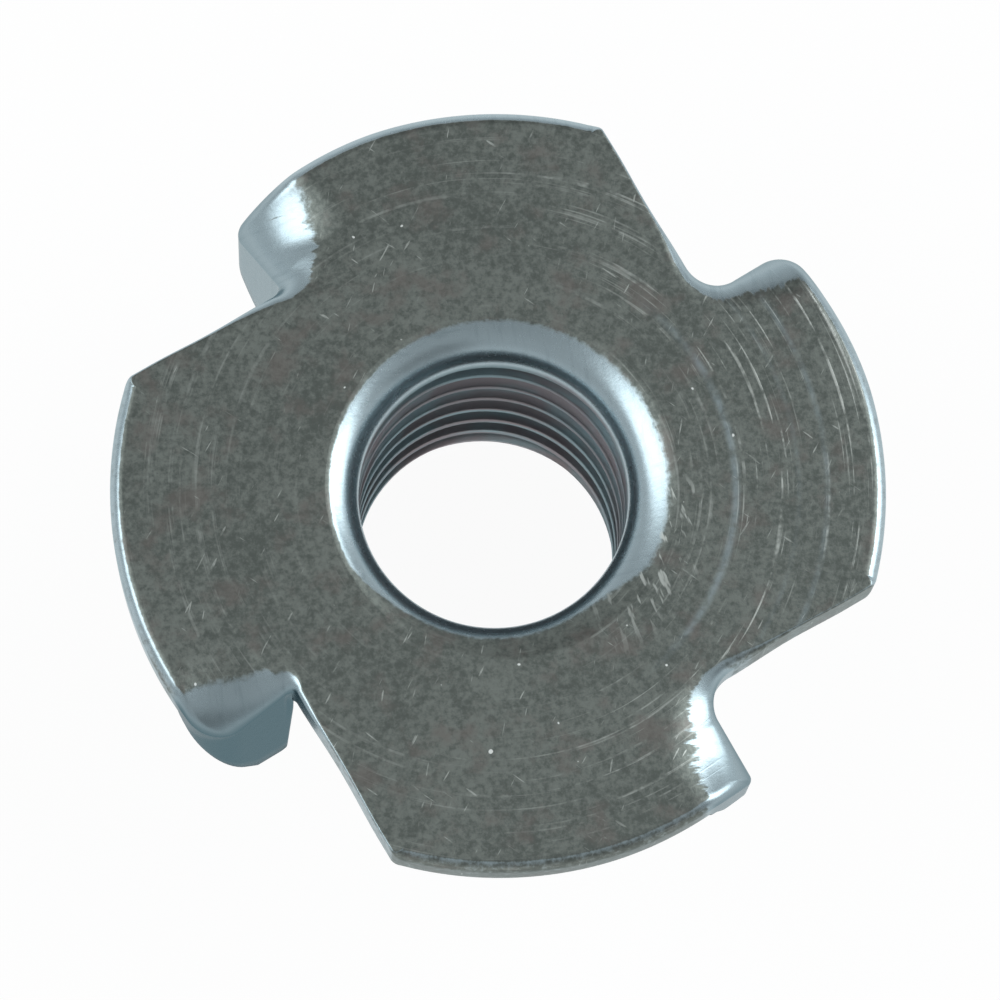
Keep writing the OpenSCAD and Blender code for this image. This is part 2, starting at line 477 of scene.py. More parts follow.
    def stations(self):
        """The edge of one quarter, from the rim before the prong to the rim after the lobe's corner."""
        stretches = (self.rim_stations, self.side_stations, self.shoulder_stations, self.face_stations,
                     self.notch_stations, self.slit_stations, self.lobe_stations)
        return [e for stretch in stretches for e in stretch()]

    def rim_stations(self):
        """The rim of the lobe before the prong."""
        s = self.s
        begin = direction(self.lobe) - 90
        end = self.side_turn
        # near the prong the fine strip leans over, to go on into the strip of the prong's side
        first = self.leg_station(unit(end) * self.rim_at(end), s.rim_r, 0.0)
        shift = end - direction(first.at + first.inward * first.reach)
        found = []
        for i in range(1, N_RIM + 1):
            turn = mix(begin, end, 1 - (1 - i / (N_RIM + 1)) ** RIM_CROWDING)
            at = unit(turn) * self.rim_at(turn)
            lean = shift * smooth(end - RIM_LEAN, end, turn)
            inner = unit(turn - lean) * (self.rim_at(turn) - FINE_STRIP)
            found.append(Edge("rim", at, (inner - at).normalized(), (inner - at).length, s.rim_r, s.rim_r,
                              bent=turn > end - RIM_DRAWN, under_edge=s.rim_r, strip=UNDER_RIM))
        return found

    def side_stations(self):
        """The prong's side that goes on from the rim."""
        found = []
        for i in range(N_SIDE):
            t = i / N_SIDE
            turn = mix(self.side_turn, self.shoulder_turn, t)
            edge = mix(self.s.rim_r, SIDE_EDGE, t)
            found.append(self.leg_station(unit(turn) * self.rim_at(turn), edge, t))
        return found

    def shoulder_stations(self):
        """The prong's rounded corner between that side and the outer face."""
        found = []
        for i in range(N_SHOULDER + 1):
            t = i / N_SHOULDER
            at = self.shoulder + unit(mix(self.shoulder_turn, self.face_turn, t)) * self.prong.shoulder
            found.append(self.leg_station(at, mix(SIDE_EDGE, 0.0, smooth(0, 1, t)), 1.0))
        return found

    def face_stations(self):
        """The prong's outer face, towards the slit."""
        found = []
        for i in range(1, N_FACE):
            u = mix(self.face_start, self.face_end, i / N_FACE)
            e = self.leg_station(self.place(u, self.face(u)), 0.0, 1.0)
            e.kind = "face"
            found.append(e)
        return found

    def notch_stations(self):
        """The round of the notch's inner end. The prong's slit side stands below the first half of it."""
        prong = self.prong
        last = self.leg_station(self.touch_face, 0.0, 1.0)
        fan_start = direction(last.inward) % 360
        fan_end = direction(self.slit_side) % 360
        legs = N_NOTCH // 2
        found = []
        for i in range(N_NOTCH + 1):
            t = i / N_NOTCH
            outward = unit(mix(self.face_turn, self.slit_turn, t))
            inward = unit(mix(fan_start, fan_end, smooth(0, 1, t)))
            reach = mix(last.reach, strip_for(prong.draw), smooth(0, 1, t))
            after = smooth(0.5, 1.0, t)
            e = Edge("notch", self.notch - outward * prong.notch_r, inward, reach, prong.draw,
                     prong.draw * DRAWN_SHARE, under_edge=NOTCH_UNDER)
            e.under = (-self.out * (1 - after) - outward * after).normalized()
            e.strip = mix(self.thick, UNDER_NOTCH, after)
            if i <= legs:
                e.leg = mix(self.face_end, 0.0, i / legs)
                w = max(0.0, 1 - (legs - i) / prong.edge_steps)
                e.inset = prong.edge * (1 - math.sqrt(1 - w * w))
            found.append(e)
        return found

    def slit_stations(self):
        """The slit's edge, out to the lobe's corner. The drawn-down edge fades into the sheared one."""
        prong = self.prong
        end = self.lobe - self.slit_side * self.s.corner_r
        run = (end - self.touch_slit).length
        found = []
        for i in range(1, N_SLIT):
            t = (i / N_SLIT) ** SLIT_CROWDING
            hollow = SLIT_HOLLOW * math.sin(math.pi * min(1, t * 1.15)) ** 2
            at = mix(self.touch_slit, end, t) + self.slit_side * hollow
            fade = math.exp(-(t * run / NOTCH_FADE) ** 1.5 * 1.6)
            width = mix(SLIT_EDGE[0], prong.draw, fade)
            depth = mix(SLIT_EDGE[1], prong.draw * DRAWN_SHARE, fade)
            found.append(Edge("slit", at, self.slit_side, strip_for(width), width, depth,
                              under_edge=SLIT_UNDER, strip=mix(UNDER_NOTCH, UNDER_LOBE, t)))
        return found

    def lobe_stations(self):
        """The lobe's rounded corner, where the sheared edge turns into the rim."""
        s = self.s
        found = []
        for i in range(N_LOBE + 1):
            t = i / N_LOBE
            outward = unit(mix(self.slit_turn, direction(self.lobe), t))
            width = mix(SLIT_EDGE[0], s.rim_r, smooth(0, 1, t))
            depth = mix(SLIT_EDGE[1], s.rim_r, smooth(0, 1, t))
            found.append(Edge("slit", self.lobe + outward * s.corner_r, -outward,
                              within(strip_for(width, 0.03), *LOBE_STRIP), width, depth,
                              under_edge=mix(SLIT_UNDER, s.rim_r, t), strip=UNDER_LOBE))
        return found

    def leg_station(self, at, edge, grown):
        """A station of the prong, whose fine strip reaches inwards past the start of the bend."""
        u, v = self.seen(at)
        # the strips' inner ends draw together a little, away from the rim
        inner = self.place(u - 0.22 * smooth(1.6, 3.0, u), min(-self.arch(u), v - 0.3) - PAST_BEND)
        limit = self.rim_at(direction(inner)) - FINE_STRIP
        if inner.length > limit:
            inner = inner * (limit / inner.length)
        ray = inner - at
        return Edge("side", at, ray.normalized(), ray.length, edge, edge, leg=u, grown=grown)


# ---------------------------------------------------------------- the flange as a grid of stations and rows
def quarter_steps(n):
    """Angles up to a quarter turn in n equal steps, in radians."""
    return [math.pi / 2 * j / n for j in range(1, n + 1)]


def station_rows(slit, e):
    """Places of one station's rows, from inside the edge's rounding, over the edge, to the underside."""
    s = slit.s
    rows = []
    for j in range(ROWS_EDGE + 1):
        d = e.reach * (1 - math.sin(math.pi / 2 * j / ROWS_EDGE))
        p = e.at + e.inward * d
        if e.kind in ("rim", "side"):
            depth = rounding(slit.edge_distance(p), e.width, e.depth)
            if e.bent:
                depth += slit.surface(p)
        elif e.kind in ("face", "notch"):
            depth = slit.surface(p)
        else:
            depth = rounding(d, e.width, e.depth, SLIT_POWER)
        rows.append((p.x, p.y, -depth if j else 0.0))
    if e.leg is not None:
        return rows + leg_rows(slit, e, depth)
    under = e.under or e.inward
    low = s.sheet_t - e.under_edge
    depth = min(depth, low - 0.05)
    for j in range(1, ROWS_WALL + 1):
        rows.append((e.at.x, e.at.y, -mix(depth, low, j / ROWS_WALL)))
    for a in quarter_steps(ROWS_UNDER_EDGE):
        p = e.at + under * (e.under_edge * (1 - math.cos(a)))
        rows.append((p.x, p.y, -(low + e.under_edge * math.sin(a))))
    flat = sum(ROWS_LEG) - ROWS_UNDER_EDGE
    for j in range(1, flat + 1):
        p = e.at + under * mix(e.under_edge, max(e.strip, e.under_edge + 0.02), j / flat)
        rows.append((p.x, p.y, -s.sheet_t))
    return rows


def leg_rows(slit, e, depth):
    """Rows of a station on the prong: down the outside, round the tip, up the inside."""
    s = slit.s
    u_edge, v_edge = slit.seen(e.at)
    tilt = math.tan(math.radians(slit.prong.tilt))
    lean = math.tan(math.radians(slit.prong.lean)) * (1 - within(e.leg / slit.face_start))
    rows = []

    def outside(d):
        """The outer face at a depth, seen from the bend line."""
        push = max(0.0, d - mix(TILT_START, slit.drop(e.leg), e.grown)) * tilt
        if e.kind == "side":
            return Vector((u_edge, v_edge + push))
        u = e.leg + max(0.0, d - s.sheet_t) * lean
        face = Vector((u, slit.face(u) + push - e.inset))
        if e.kind == "face":
            return face
        # below the notch the slit side moves over from the sheet's edge to the leg's own line
        return mix(Vector((u_edge, v_edge)), face, smooth(0.8, 2.0, d))

    def add(u, v, d):
        rows.append((*slit.place(u, v), -d))

    back = slit.face(e.leg) - slit.thick + e.inset
    tip = slit.tip_depth(e.leg, lean) - e.inset
    if e.kind == "side":
        shortest = s.sheet_t + SHORTEST_LEG
        tip = mix(shortest, max(tip, shortest), smooth(0.0, 0.45, e.grown))
    top = max(depth, s.sheet_t)
    for j in range(1, ROWS_WALL + 1):
        d = mix(depth, top, j / ROWS_WALL) if depth < top else depth + 0.001 * j
        add(*outside(d), d)
    top = max(top, depth + 0.005)
    n_outside, n_outer_edge, n_tip, n_inner_edge, n_inside, n_root = ROWS_LEG
    # where the prong has just begun, it is too short for its full roundings
    drop = min(PRONG_EDGE, max(tip - top, 0.01) / 2)
    wall_end = tip - drop
    root_drop = min(INNER_ROUND, (wall_end - s.sheet_t) * 0.9)
    for j in range(1, n_outside + 1):
        d = mix(top, wall_end, j / n_outside)
        add(*outside(d), d)
    u_end, v_end = outside(wall_end)
    span = max(v_end - back - max(0.0, tip - TILT_START) * tilt, 0.1)
    edge = min(drop, span * 0.45)
    for a in quarter_steps(n_outer_edge):
        add(u_end, v_end - edge * (1 - math.cos(a)), wall_end + drop * math.sin(a))
    for j in range(1, n_tip + 1):
        add(u_end, mix(v_end - edge, v_end - span + edge, j / n_tip), tip)
    for a in quarter_steps(n_inner_edge):
        add(u_end, v_end - span + edge * (1 - math.sin(a)), wall_end + drop * math.cos(a))
    for j in range(1, n_inside + 1):
        t = j / n_inside
        add(mix(u_end, e.leg, t), mix(v_end - span, back, t), mix(wall_end, s.sheet_t + root_drop, t))
    for a in quarter_steps(n_root):
        add(e.leg, back - INNER_ROUND * (1 - math.cos(a)), s.sheet_t + root_drop * (1 - math.sin(a)))
    return rows


def press_flange(s):
    """The flange's edge and prongs: a grid closed to a ring, with each column carried to its station."""
    columns = []
    for k in range(QUARTERS):
        slit = Slit(s, PRONGS[k])
        for e in slit.stations():
            columns.append([(*turned(p, 90 * k), p[2]) for p in station_rows(slit, e)])
    n = len(columns)
    m = len(columns[0]) - 1
    bm = bmesh.new()
    bmesh.ops.create_grid(bm, x_segments=n, y_segments=m, size=0.5)
    for v in bm.verts:
        i = round((v.co.x + 0.5) * n) % n
        j = round((v.co.y + 0.5) * m)
        x, y, z = columns[i][j]
        v.co = Vector((x + s.flange_off_x, y + s.flange_off_y, z))
    bmesh.ops.remove_doubles(bm, verts=bm.verts, dist=MERGE)
    return bm


# ---------------------------------------------------------------- barrel, mouth and thread
STEPS_ROUND = 160       # steps round the barrel
STEPS_THREAD = 96       # steps in one turn of the thread
THREAD_TOP = 1.3        # depth at which the thread gives way to the mouth
THREAD_END = 0.12       # and how far it stays off the barrel's end
ROOT_GAP = 0.02         # what the thread's root clears the screw by
THREAD_EASE = 0.03      # rounding of its crest and root
MOUTH_ROUND = 1.12      # the mouth's own radius for the nominal one
MOUTH_TURN = 100.0      # its arc goes on past the upright by 10 degrees and meets the flat at a slight edge
MOUTH_WIDER = 0.13      # the mouth was drawn this much wider on each side
MOUTH_OFF = (0.19, 0.05)    # and this much off the axis


def crest_radius(s):
    """Radius of the crest of an ISO metric inside thread."""
    return (s.thread_d - 1.0825 * s.thread_pitch) / 2


def arc(cx, cz, r, a0, a1, steps):
    """Points of an arc in the section, from angle a0 to a1 in degrees."""
    angles = [math.radians(mix(a0, a1, i / steps)) for i in range(steps + 1)]
    return [(cx + r * math.cos(a), cz + r * math.sin(a)) for a in angles]


def spin_section(bm, points, steps, turns=1, rise=0.0):
    """Turns an open line of (radius, height) points round the axis, once or as a rising helix."""
    verts = [bm.verts.new((r, 0, z)) for r, z in points]
    edges = [bm.edges.new(pair) for pair in zip(verts, verts[1:])]
    bmesh.ops.spin(bm, geom=verts + edges, cent=(0, 0, 0), axis=(0, 0, 1), dvec=(0, 0, rise / steps),
                   angle=2 * math.pi * turns, steps=steps * turns, use_merge=not rise)


def cut_thread(s, z_top, z_low):
    """The inside thread: one pitch of its profile swept along the helix, trimmed square at both ends."""
    bm = bmesh.new()
    crest = crest_radius(s)
    root = s.thread_d / 2 + ROOT_GAP
    middle = mix(crest, root, 0.5)
    pitch = s.thread_pitch
    # crest, first flank, root and second flank, with heights in pitches
    profile = [(crest, 0.016), (crest, 0.216), (crest + THREAD_EASE, 0.264), (middle, 0.416),
               (root - THREAD_EASE, 0.568), (root, 0.608), (root, 0.664), (root - THREAD_EASE, 0.704),
               (middle, 0.848), (crest + THREAD_EASE, 0.976), (crest, 1.016)]
    start = z_low - 1.5 * pitch
    turns = math.ceil((z_top - z_low) / pitch) + 3
    spin_section(bm, [(r, start + z * pitch) for r, z in profile], STEPS_THREAD, turns, pitch)
    # each turn of the sweep joins the next
    bmesh.ops.remove_doubles(bm, verts=bm.verts, dist=0.0005)
    for z, normal in ((z_top, (0, 0, 1)), (z_low, (0, 0, -1))):
        bmesh.ops.bisect_plane(bm, geom=bm.verts[:] + bm.edges[:] + bm.faces[:], dist=MERGE,
                               plane_co=(0, 0, z), plane_no=normal, clear_outer=True)
    # the grooves run out at both ends, and the lead-in widens the bore
    lead_top = -s.nut_h + s.lead_h
    for v in bm.verts:
        r = v.co.xy.length
        run_out = smooth(z_top - 0.05, z_top - 1.1, v.co.z) * smooth(z_low + 0.02, z_low + 0.12, v.co.z)
        lead = max(0.0, lead_top - v.co.z) * s.lead_w / s.lead_h
        v.co.xy *= (crest + max((r - crest) * run_out, lead)) / r
    return bm


def loop_at(bm, z, r_low, r_high, centre=(0.0, 0.0)):
    """Open edges whose ends lie at that height and in that range of radius."""
    def on_loop(v):
        r = math.hypot(v.co.x - centre[0], v.co.y - centre[1])
        return abs(v.co.z - z) < 1e-3 and r_low < r < r_high
    return [e for e in bm.edges if e.is_boundary and all(on_loop(v) for v in e.verts)]


def merge_in(bm, other):
    """Adds another bmesh to bm."""
    mesh = bpy.data.meshes.new("part")
    other.to_mesh(mesh)
    other.free()
    bm.from_mesh(mesh)
    bpy.data.meshes.remove(mesh)


def mouth_skin(bm, s, crest, thread_top):
    """The drawn mouth, from the flat down to just above the thread."""
    r = s.mouth_r * MOUTH_ROUND
    mouth = arc(crest + r, -r * math.sin(math.radians(MOUTH_TURN)), r, MOUTH_TURN, 180, 18)
    edge = mouth[0][0]
    flat = [(edge + gap, 0) for gap in (0.13, 0.03, 0.006)]
    spin_section(bm, flat + mouth + [(crest, thread_top + 0.1)], STEPS_ROUND)
    # the mouth was drawn a little wider than the bore needs, and a little to the right of it
    for v in bm.verts:
        r = v.co.xy.length
        w = smooth(0, 1, (r - crest) / (edge - crest))
        v.co.xy = v.co.xy * (1 + MOUTH_WIDER * w / r) + Vector(MOUTH_OFF) * w


def barrel_skin(bm, s, lip, thread_low):
    """The barrel's end and outside, and the neck radius under the flange."""
    r = s.barrel_d / 2
    low = -s.nut_h
    neck_z = -s.sheet_t - s.neck_r
    bevel_in = r - s.barrel_bevel
    bevel_top = low + s.barrel_bevel
    # short steps beside the corners keep their shading crisp
    points = [(lip - 0.01, thread_low - 0.05), (lip, low + 0.05), (lip + 0.05, low), (lip + 0.1, low)]
    points += [(bevel_in - 0.05, low), (bevel_in, low), (r - 0.02, bevel_top - 0.02), (r, bevel_top + 0.05)]
    points += [(r, mix(bevel_top, neck_z, t)) for t in (0.1, 0.3, 0.5, 0.7, 0.9)]
    points += arc(r + s.neck_r, neck_z, s.neck_r, 180, 90, 10)
    points += [(r + s.neck_r + 0.03, -s.sheet_t)]
    spin_section(bm, points, STEPS_ROUND)


def build_tee_nut(s):
    """The whole nut as one closed skin, in millimetres, with the outer face at height 0."""
    crest = crest_radius(s)
    lip = crest + s.lead_w
    thread_top = -THREAD_TOP
    thread_low = -s.nut_h + THREAD_END
    off = (s.flange_off_x, s.flange_off_y)
    bm = bmesh.new()
    mouth_skin(bm, s, crest, thread_top)
    barrel_skin(bm, s, lip, thread_low)
    bmesh.ops.remove_doubles(bm, verts=bm.verts, dist=MERGE)
    merge_in(bm, cut_thread(s, thread_top, thread_low))
    merge_in(bm, press_flange(s))
    # thread to the mouth's neck, and thread to the barrel's end
    for z, gap, r in ((thread_top, 0.1, crest), (thread_low, -0.05, lip)):
        first = loop_at(bm, z, r - 0.1, r + 0.1)
        second = loop_at(bm, z + gap, r - 0.1, r + 0.1)
        bmesh.ops.bridge_loops(bm, edges=first + second)
    # flange's face to the mouth, and its underside to the neck, between the loops outside that radius
    for z, r in ((0.0, crest + 0.78), (-s.sheet_t, s.barrel_d / 2 + 0.6)):
        bmesh.ops.triangle_fill(bm, edges=loop_at(bm, z, r, s.flange_d / 2, off), normal=(0, 0, 1),
                                use_beauty=True, use_dissolve=False)
    bmesh.ops.remove_doubles(bm, verts=bm.verts, dist=MERGE)
    bmesh.ops.dissolve_degenerate(bm, dist=MERGE, edges=bm.edges)
    bmesh.ops.recalc_face_normals(bm, faces=bm.faces)
    return bm


# ---------------------------------------------------------------- wear and painted light and shade, as attributes for the material
FACE_OUT = 5.9          # from this radius outwards a place belongs to the bends, the rim or the slits
MOUTH_OUT = 4.7         # and inside this one to the mouth, both from the flange's centre


def paint_wear_and_light(mesh, s):
    """Where the press rubbed the sheet smooth and it takes the lighter colour, which is partly painted
    sheen, and where the prongs have painted shade with their bluish patina.
    """
    rubbed_and_sheen = mesh.attributes.new("burnish_and_sheen", "FLOAT", "POINT")
    patina_shade_mask = mesh.attributes.new("patina_shade_mask", "FLOAT", "POINT")
    bore = mesh.attributes.new("bore", "FLOAT", "POINT")
    flow = mesh.attributes.new("flow", "FLOAT_VECTOR", "POINT")
    slits = [Slit(s, prong) for prong in PRONGS]
    for i, v in enumerate(mesh.vertices):
        up = v.normal.z
        x = v.co.x / MM - s.flange_off_x
        y = v.co.y / MM - s.flange_off_y
        out = math.hypot(x, y)
        deep = s.nut_h - v.co.z / MM
        # a quarter's share of the edge begins 10 degrees past the axis
        k = int(((direction((x, y)) - 10.0) % 360.0) // 90.0)
        u, across = slits[k].seen(turned((x, y), -90 * k))
        # the prong, from 1.9 mm inside its outer face and 0.7 mm before the slit
        on_prong = smooth(-1.9, -1.2, across - slits[k].face(u)) * smooth(-0.7, 0.1, u)
        if out <= FACE_OUT:
            on_prong = 0.0

        # the sheet is smooth and takes the lighter colour as soon as it turns away from the flat: partly
        # painted sheen, as the flat's darker colour is partly painted shade
        worn_and_sheen = 1.0 if up < 0 else smooth(0.994, 0.915, up)
        if out < MOUTH_OUT and up >= 0:
            # the front of the mouth keeps the darker colour of the flat further down its shallow part:
            # painted shade
            front_shade = smooth(0.45, 0.9, -y / max(out, 1e-6))
            worn_and_sheen = smooth(mix(0.994, 0.92, front_shade), mix(0.92, 0.66, front_shade), up)
        if out > FACE_OUT:
            # the cut edges are duller than the bends, most of all those that face the front: the darker
            # front edges are painted shade
            front = smooth(0.15, 0.75, -v.normal.y)
            back = smooth(0.2, 0.8, v.normal.y)
            upright = smooth(0.35, 0.05, abs(up))
            cut = mix(0.62 + 0.2 * max(back, upright), 0.30, front)
            worn_and_sheen *= mix(cut, 1.0, max(on_prong, smooth(1.6, 2.0, deep)))
        # painted shade with a bluish patina: faint on top of the bend and full where the prong stands
        # upright
        upright_shade = mix(0.22 * smooth(0.1, 0.6, deep), 1.0, smooth(0.95, 0.42, up))
        in_bore = smooth(4.5, 4.05, v.co.xy.length / MM) * smooth(0.85, 1.4, deep)

        rubbed_and_sheen.data[i].value = worn_and_sheen
        patina_shade_mask.data[i].value = slits[k].prong.patina_shade * on_prong * upright_shade
        bore.data[i].value = in_bore
        flow.data[i].vector = (u, across, on_prong * slits[k].prong.streak)


# ---------------------------------------------------------------- materials
def node(tree, kind, inputs=None, **settings):
    """Adds a node with its settings and links. A node given as an input stands for its first live output."""
    made = tree.nodes.new(kind)
    for key, value in settings.items():
        setattr(made, key, value)
    for key, value in (inputs or {}).items():
        if isinstance(value, bpy.types.Node):
            value = next(socket for socket in value.outputs if socket.enabled)
        if isinstance(value, bpy.types.NodeSocket):
            tree.links.new(value, made.inputs[key])
        else:
            made.inputs[key].default_value = value
    return made


def new_tree(owner):
    """The empty node tree of a material or a world."""
    owner.use_nodes = True
    owner.node_tree.nodes.clear()
    return owner.node_tree


# the kinds of node that are used most, and the settings that go with two of them
MATHS = "ShaderNodeMath"
VECTOR = "ShaderNodeVectorMath"
NOISE = "ShaderNodeTexNoise"
ATTRIBUTE = "ShaderNodeAttribute"
RANGE = "ShaderNodeMapRange"
MIX = "ShaderNodeMix"
SMOOTH = {"interpolation_type": "SMOOTHSTEP"}
COLOUR = {"data_type": "RGBA"}      # its inputs 6 and 7 are the two colours
WHITE = linear("#ffffff")


def per(size):
    """Scale of a pattern whose marks are that many millimetres apart, for coordinates in metres."""
    return 1 / (size * MM)


def dull_flat(t, f, place, grain):
    """Colour of the flat as it came from the drum, dull, mottled and marked, and its turned arcs. Its darker
    tone beside the bends is partly painted shade.
    """
    # distance from the barrel's axis, and the direction as a unit vector, both free of a seam
    level = node(t, VECTOR, {0: place, 1: (1, 1, 0)}, operation="MULTIPLY")
    radius = node(t, VECTOR, {0: level}, operation="LENGTH")
    heading = node(t, VECTOR, {0: level}, operation="NORMALIZE")
    right, back, _ = node(t, "ShaderNodeSeparateXYZ", {0: heading}).outputs

    # clouds of 2.6 mm with the grain on them, and brownish patches of 1.1 mm, which look like dull zinc
    cloud = node(t, NOISE, {"Vector": place, "Scale": per(2.632), "Detail": 5.0, "Roughness": 0.6})
    fine = node(t, MATHS, {0: grain, 1: 0.7}, operation="MULTIPLY")
    tone = node(t, MATHS, {0: cloud, 1: 0.3, 2: fine}, operation="MULTIPLY_ADD")
    light = node(t, RANGE, {"Value": tone, "From Min": 0.36, "From Max": 0.64}, **SMOOTH)
    flat = node(t, MIX, {0: light, 6: f.flat_dark, 7: f.flat_light}, **COLOUR)
    patch = node(t, NOISE, {"Vector": place, "Scale": per(1.111), "Detail": 4.0, "Roughness": 0.6})
    warm = node(t, RANGE, {"Value": patch, "From Min": 0.50, "From Max": 0.70, "To Max": 0.6}, **SMOOTH)
    flat = node(t, MIX, {0: warm, 6: flat, 7: f.flat_warm}, **COLOUR)

    # turned arcs round the barrel, drawn as coarse as 0.11 mm so that they show, strongest to the right
    outwards = node(t, MATHS, {0: radius, 1: per(0.1111)}, operation="MULTIPLY")
    across = node(t, MATHS, {0: right, 1: 1.3}, operation="MULTIPLY")
    along = node(t, MATHS, {0: back, 1: 1.3}, operation="MULTIPLY")
    ring = node(t, "ShaderNodeCombineXYZ", {0: outwards, 1: across, 2: along})
    lines = node(t, NOISE, {"Vector": ring, "Scale": 1.0, "Detail": 2.0, "Roughness": 0.6})
    arcs = node(t, RANGE, {"Value": lines, "From Min": 0.56, "From Max": 0.70}, **SMOOTH)
    # breaks of 0.7 mm in the arcs and scratches
    gaps = node(t, NOISE, {"Vector": place, "Scale": per(0.6667), "Detail": 3.0, "Roughness": 0.7})
    broken = node(t, RANGE, {"Value": gaps, "From Min": 0.38, "From Max": 0.60}, **SMOOTH)
    leaning = node(t, MATHS, {0: right, 1: 0.50}, operation="ADD")
    aside = node(t, MATHS, {0: leaning}, operation="ABSOLUTE")
    side = node(t, RANGE, {"Value": aside, "From Min": 0.45, "From Max": 1.40, "To Min": 0.28}, **SMOOTH)
    far = node(t, RANGE, {"Value": radius, "From Min": 4.8 * MM, "From Max": 7.5 * MM, "To Min": 0.35},
               **SMOOTH)
    for factor in (broken, side, far):
        arcs = node(t, MATHS, {0: arcs, 1: factor}, operation="MULTIPLY")
    flat = node(t, MIX, {0: arcs, 6: flat, 7: f.mark}, **COLOUR)

    # three broad bluish arcs on the right, as (radius and half width in millimetres, strength)
    on_right = node(t, RANGE, {"Value": right, "From Min": 0.55, "From Max": 0.9}, **SMOOTH)
    patchy = node(t, MATHS, {0: broken, 1: 0.7, 2: 0.3}, operation="MULTIPLY_ADD")
    for r, width, gain in ((5.90, 0.16, 0.46), (8.15, 0.12, 0.26), (7.45, 0.10, 0.14)):
        past = node(t, MATHS, {0: radius, 1: r * MM}, operation="SUBTRACT")
        off = node(t, MATHS, {0: past}, operation="ABSOLUTE")
        band = node(t, RANGE, {"Value": off, "From Min": width * MM, "From Max": 0.0, "To Max": gain},
                    **SMOOTH)
        for factor in (on_right, patchy):
            band = node(t, MATHS, {0: band, 1: factor}, operation="MULTIPLY")
        flat = node(t, MIX, {0: band, 6: flat, 7: f.bright}, **COLOUR)

    # scratches from handling, 0.8 mm long and 0.09 mm wide, that run three ways, so that it looks used
    scratches = 0.0
    for turn, shift, low in ((35.0, 0.0, 0.745), (-62.0, 13.0, 0.735), (100.0, 27.0, 0.75)):
        moved = node(t, VECTOR, {0: place, 1: (shift * MM, shift * MM, 0)}, operation="ADD")
        way = node(t, "ShaderNodeVectorRotate", {"Vector": moved, "Angle": math.radians(turn)},
                   rotation_type="Z_AXIS")
        drawn = node(t, VECTOR, {0: way, 1: (per(0.7692), per(0.0909), per(0.7692))}, operation="MULTIPLY")
        marks = node(t, NOISE, {"Vector": drawn, "Scale": 1.0, "Detail": 1.0, "Roughness": 0.5})
        marks = node(t, RANGE, {"Value": marks, "From Min": low, "From Max": low + 0.05}, **SMOOTH)
        scratches = node(t, MATHS, {0: marks, 1: scratches}, operation="MAXIMUM")
    for factor in (broken, 0.7):
        scratches = node(t, MATHS, {0: scratches, 1: factor}, operation="MULTIPLY")
    flat = node(t, MIX, {0: scratches, 6: flat, 7: f.mark}, **COLOUR)

    # a cluster of short dents, 0.8 mm long and 0.2 mm wide, in the plate to the right of the mouth
    way = node(t, "ShaderNodeVectorRotate", {"Vector": place, "Angle": math.radians(70.0)},
               rotation_type="Z_AXIS")
    drawn = node(t, VECTOR, {0: way, 1: (per(0.7692), per(0.1923), per(0.7692))}, operation="MULTIPLY")
    marks = node(t, NOISE, {"Vector": drawn, "Scale": 1.0, "Detail": 2.0, "Roughness": 0.6})
    dents = node(t, RANGE, {"Value": marks, "From Min": 0.58, "From Max": 0.66}, **SMOOTH)
    near = node(t, RANGE, {"Value": radius, "From Min": 5.6 * MM, "From Max": 4.6 * MM}, **SMOOTH)
    ahead = node(t, RANGE, {"Value": right, "From Min": 0.45, "From Max": 0.95}, **SMOOTH)
    front = node(t, RANGE, {"Value": back, "From Min": 0.12, "From Max": -0.08}, **SMOOTH)
    for factor in (near, ahead, front):
        dents = node(t, MATHS, {0: dents, 1: factor}, operation="MULTIPLY")
    flat = node(t, MIX, {0: dents, 6: flat, 7: f.mark}, **COLOUR)

    # small bright nicks: a few of the spots, which are 0.24 mm apart
    spots = node(t, NOISE, {"Vector": place, "Scale": per(0.2381), "Detail": 0.0, "Roughness": 0.5})
    nicks = node(t, RANGE, {"Value": spots, "From Min": 0.86, "From Max": 0.885}, **SMOOTH)
    return node(t, MIX, {0: nicks, 6: flat, 7: f.nick}, **COLOUR), arcs


